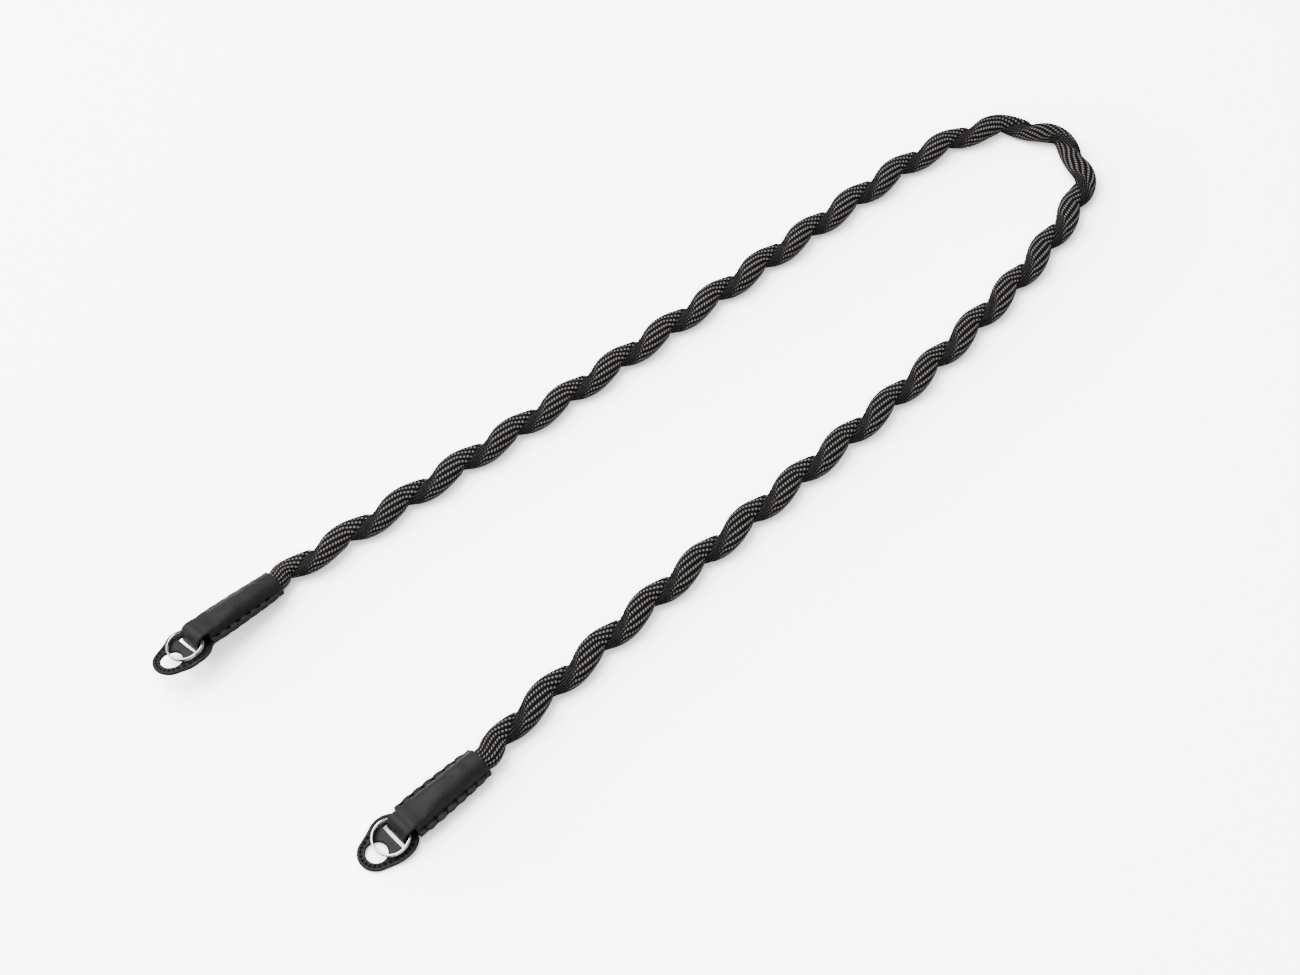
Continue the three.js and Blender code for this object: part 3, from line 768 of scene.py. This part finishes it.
PATCH_THICKNESS, PATCH_REAR_X = 1.6, SLEEVE_FRONT_X + GAP
WIDE_X, WIDE_R, TIP_X, TIP_R = 5.2, 10.5, 13.4, 7.8
STEP_FROM, STEP_TO, STEP_HEIGHT = 11.5, 5.6, 1.3
LUG_HOLE_RADIUS = 4.45
SLIT_REAR, SLIT_FRONT, SLIT_LENGTH = FOLD_BORE - GAP, FOLD_BORE + LEATHER + 1.6, 12.2
PATCH_SPLIT_X = 7.2
PATCH_STITCH_IN, PATCH_STITCH_PITCH = 1.75, 2.42
SEWN_LINE_DEPTH, STITCH_HOLE_DEPTH, STITCH_HOLE_WIDE, STITCH_HOLE_LONG = 0.16, 0.75, 0.46, 0.56
EDGE_ROUND, EDGE_DROP, PATCH_CUT_TONE = 0.45, 0.12, 0.5
OUTLINE_POINTS, PATCH_RAYS, FACE_STEPS, ROUND_STEPS = 720, 420, 30, 7


def patch_half_width(x):
    """Half width of the egg outline round a wide and a narrow circle and their common tangents."""
    slope = math.asin((WIDE_R - TIP_R) / (TIP_X - WIDE_X))

    def circle(middle, radius):
        return np.sqrt(np.clip(radius ** 2 - (x - middle) ** 2, 0, None))

    tangent = WIDE_R / math.cos(slope) - (x - WIDE_X) * math.tan(slope)
    half = np.where(x < WIDE_X + WIDE_R * math.sin(slope), circle(WIDE_X, WIDE_R), tangent)
    return np.where(x > TIP_X + TIP_R * math.sin(slope), circle(TIP_X, TIP_R), half)


def patch_outline():
    """The egg outline as an evenly spaced closed line, the run along it and its length. Its rear is cut
    straight, with rounded corners."""
    turn = np.linspace(0, np.pi, 1500)
    reach = (TIP_X + TIP_R - PATCH_REAR_X) / 2
    x = PATCH_REAR_X + reach * (1 + np.cos(turn))
    half = patch_half_width(x) * np.clip((x - PATCH_REAR_X) / 0.35, 0, 1) ** 0.4
    line = np.concatenate([np.stack([x, half], 1), np.stack([x[::-1], -half[::-1]], 1)])
    run = run_along(line)
    even = np.linspace(0, run[-1], OUTLINE_POINTS, endpoint=False)
    return np.stack([np.interp(even, run, line[:, k]) for k in (0, 1)], 1), even, run[-1]


OUTLINE, OUTLINE_RUN, OUTLINE_LENGTH = patch_outline()


def ray_reach(centre, direction, test):
    """How far each ray from a centre goes before it leaves the area that test describes, by halving."""
    low, high = np.zeros(len(direction)), np.full(len(direction), 40.0)
    for _ in range(44):
        middle = (low + high) / 2
        p = centre + direction * middle[:, None]
        within = test(p[:, 0], p[:, 1])
        low, high = np.where(within, middle, low), np.where(within, high, middle)
    return low


def patch_region(centre, hole, area):
    """A ring of leather between a hole and the border of its area: for each ray from the centre, a closed
    rounded section from the hole out to the border. The border is left square where the two areas meet."""
    turn = np.linspace(0, 2 * np.pi, PATCH_RAYS, endpoint=False)
    direction = np.stack([np.cos(turn), np.sin(turn)], 1)
    near, far = ray_reach(centre, direction, hole), ray_reach(centre, direction, area)
    border = centre + direction * far[:, None]
    far_round = np.where(np.abs(border[:, 0] - PATCH_SPLIT_X) < 1e-3, 0.0, EDGE_ROUND)
    steps = np.linspace(0, 1, FACE_STEPS)
    steps = (steps + 0.35 * smoothstep(steps, 0, 1)) / 1.35
    arc = np.linspace(0, np.pi, ROUND_STEPS + 2)[1:-1]
    face = np.ones(FACE_STEPS)
    reach = np.concatenate([steps, np.ones(ROUND_STEPS), steps[::-1], np.zeros(ROUND_STEPS)])
    level = np.concatenate([face, np.cos(arc), -face, -np.cos(arc)])
    swell = np.concatenate([0 * face, np.sin(arc), 0 * face, -np.sin(arc)])
    inner, outer = near + EDGE_ROUND, far - far_round
    bulge = np.where(reach[None, :] > 0.5, far_round[:, None], EDGE_ROUND) * swell[None, :]
    distance = inner[:, None] + (outer - inner)[:, None] * reach[None, :] + bulge
    xy = centre + direction[:, None] * distance[..., None]
    return xy, np.broadcast_to(level[None, :], xy.shape[:2])


def patch_sheets(side):
    """The patch: flat round the lug hole, stepped up at the rear, pressed along a stitch line inside its
    edge, with a hole for each stitch."""
    slit_x, slit_half = (SLIT_REAR + SLIT_FRONT) / 2, (SLIT_FRONT - SLIT_REAR) / 2

    def within(x, y):
        return (x > PATCH_REAR_X) & (np.abs(y) < patch_half_width(x))

    def in_slit(x, y):
        return (np.abs(x - slit_x) < slit_half) & (np.abs(y) < SLIT_LENGTH / 2)

    def in_lug_hole(x, y):
        return np.hypot(x - TIP_X, y) < LUG_HOLE_RADIUS

    regions = [
        patch_region(np.array([TIP_X, 0.0]), in_lug_hole, lambda x, y: within(x, y) & (x > PATCH_SPLIT_X)),
        patch_region(np.array([slit_x, 0.0]), in_slit, lambda x, y: within(x, y) & (x < PATCH_SPLIT_X)),
    ]
    stitch_run = OUTLINE_LENGTH / round(OUTLINE_LENGTH / PATCH_STITCH_PITCH)
    sheets = []
    for xy, level in regions:
        flat = xy.reshape(-1, 2)
        squared = (flat ** 2).sum(1)[:, None] + (OUTLINE ** 2).sum(1)[None] - 2 * flat @ OUTLINE.T
        nearest = squared.argmin(1)
        from_edge = np.sqrt(np.clip(squared[np.arange(len(flat)), nearest], 0, None)).reshape(level.shape)
        run_there = OUTLINE_RUN[nearest].reshape(level.shape)
        x = xy[..., 0]
        base = STEP_HEIGHT * (1 - smoothstep(x, STEP_TO, STEP_FROM))
        from_hole = ((run_there / stitch_run) % 1.0 - 0.5) * PATCH_STITCH_PITCH
        off_line = (from_edge - PATCH_STITCH_IN) / STITCH_HOLE_WIDE
        sewn = smoothstep(x, PATCH_REAR_X + 2.5, PATCH_REAR_X + 4)
        pressed = SEWN_LINE_DEPTH * np.exp(-off_line ** 2) * sewn
        hole = np.exp(-off_line ** 2 - (from_hole / STITCH_HOLE_LONG) ** 2) * sewn
        rounded = EDGE_DROP * smoothstep(-from_edge, -1.2, 0)
        on_face = np.where(np.abs(level) > 0.999, 1.0, 0.0)
        press = (pressed + STITCH_HOLE_DEPTH * hole + rounded) * on_face
        z = base + PATCH_THICKNESS / 2 + level * (PATCH_THICKNESS / 2 - press)
        cut = PATCH_CUT_TONE * (np.abs(level) < 0.95)
        sheets.append(dict(points=placed(np.concatenate([xy, z[..., None]], -1), side), wrap_rows=True,
                           wrap_columns=True, flip=True, tone=np.clip(cut + 0.95 * hole * on_face, 0, 1)))
    return sheets


# Split ring

RING_OUTER_RADIUS, SWING_RADIUS, TURN_PITCH = 8.0, 5.96, 0.9
WIRE_WIDTH, WIRE_HEIGHT, WIRE_SQUARENESS = 1.0, 0.76, 0.85
CROSSOVER, CROSSOVER_AT = math.radians(20), math.radians(250)
RING_STEPS, WIRE_COLUMNS, END_TAPER, END_SIZE = 420, 29, 0.03, 0.25


def ring_sheets(side):
    """Two flat turns of rounded wire joined by a short step from the lower turn to the upper one, tipped down
    about the swing axis until the ring lies on the patch."""
    start = 1.2 * CROSSOVER
    turn = np.linspace(start, 4 * math.pi - start, RING_STEPS)[:, None]
    level = TURN_PITCH * (smoothstep(turn - 2 * math.pi, -CROSSOVER, CROSSOVER) - 0.5)
    around = np.linspace(0, 2 * np.pi, WIRE_COLUMNS)[None, :]
    from_end = np.minimum(turn - start, 4 * math.pi - start - turn)
    size = END_SIZE + (1 - END_SIZE) * np.clip(from_end / END_TAPER, 0, 1) ** 0.5
    wire_radius = RING_OUTER_RADIUS - WIRE_WIDTH / 2
    r = wire_radius + size * WIRE_WIDTH / 2 * signed_power(np.cos(around), WIRE_SQUARENESS)
    z = level + size * WIRE_HEIGHT / 2 * signed_power(np.sin(around), WIRE_SQUARENESS)
    angle = turn + CROSSOVER_AT
    x, y = SWING_RADIUS + r * np.cos(angle), r * np.sin(angle)
    drop = SWING_Z - (TURN_PITCH + WIRE_HEIGHT) / 2 - PATCH_THICKNESS - GAP
    tip = math.asin(drop / (SWING_RADIUS + RING_OUTER_RADIUS))
    tipped_x = x * math.cos(tip) + z * math.sin(tip)
    tipped_z = SWING_Z - x * math.sin(tip) + z * math.cos(tip)
    points = placed(np.stack([tipped_x, y, tipped_z], -1), side)
    uv = np.stack(np.broadcast_arrays(turn, around / (2 * np.pi)), -1)
    return [dict(points=points, uv=uv), dict(points=end_cap(points[0]), flip=True),
            dict(points=end_cap(points[-1]))]


for side in ENDS:
    make_piece(f"{side}_sleeve_leather", sleeve_sheets(side), SLEEVE_LEATHER,
               stands_for=f"{side}_sleeve")
    make_piece(f"{side}_seam_stitches", seam_stitches(side), SEWING)
    make_piece(f"{side}_patch_leather", patch_sheets(side), PATCH_LEATHER,
               stands_for=f"{side}_patch")
    make_piece(f"{side}_split_ring", ring_sheets(side), STEEL, body=f"{side}_ring",
               stands_for=f"{side}_ring")


# Floor and light

FLOOR_HALF, FLOOR_DROP = 6.0, 0.00005  # metres
floor_ways = [(-1, -1), (1, -1), (1, 1), (-1, 1)]
floor_corners = [(x * FLOOR_HALF, y * FLOOR_HALF, -FLOOR_DROP) for x, y in floor_ways]
floor_mesh = bpy.data.meshes.new("floor")
floor_mesh.from_pydata(floor_corners, [], [(0, 1, 2, 3)])
floor = bpy.data.objects.new("floor", floor_mesh)
bpy.context.scene.collection.objects.link(floor)
floor_mesh.materials.append(pale_floor())


def area_light(name, place, size, power):
    """A soft round lamp that looks at the origin."""
    light = bpy.data.lights.new(name, "AREA")
    light.shape = "DISK"
    light.size = size
    light.energy = power
    lamp = bpy.data.objects.new(name, light)
    bpy.context.scene.collection.objects.link(lamp)
    lamp.location = place
    lamp.rotation_euler = (-Vector(place)).to_track_quat("-Z", "Y").to_euler()


area_light("key", (-0.45, 0.85, 1.5), 1.7, 135)
area_light("fill", (-0.6, -1.2, 1.5), 1.4, 24)
area_light("rim", (1.3, 0.6, 0.9), 1.0, 5)
world = bpy.data.worlds.new("studio")
bpy.context.scene.world = world
world.use_nodes = True
world.node_tree.nodes["Background"].inputs["Color"].default_value = (1.0, 1.0, 1.0, 1.0)
world.node_tree.nodes["Background"].inputs["Strength"].default_value = 0.25
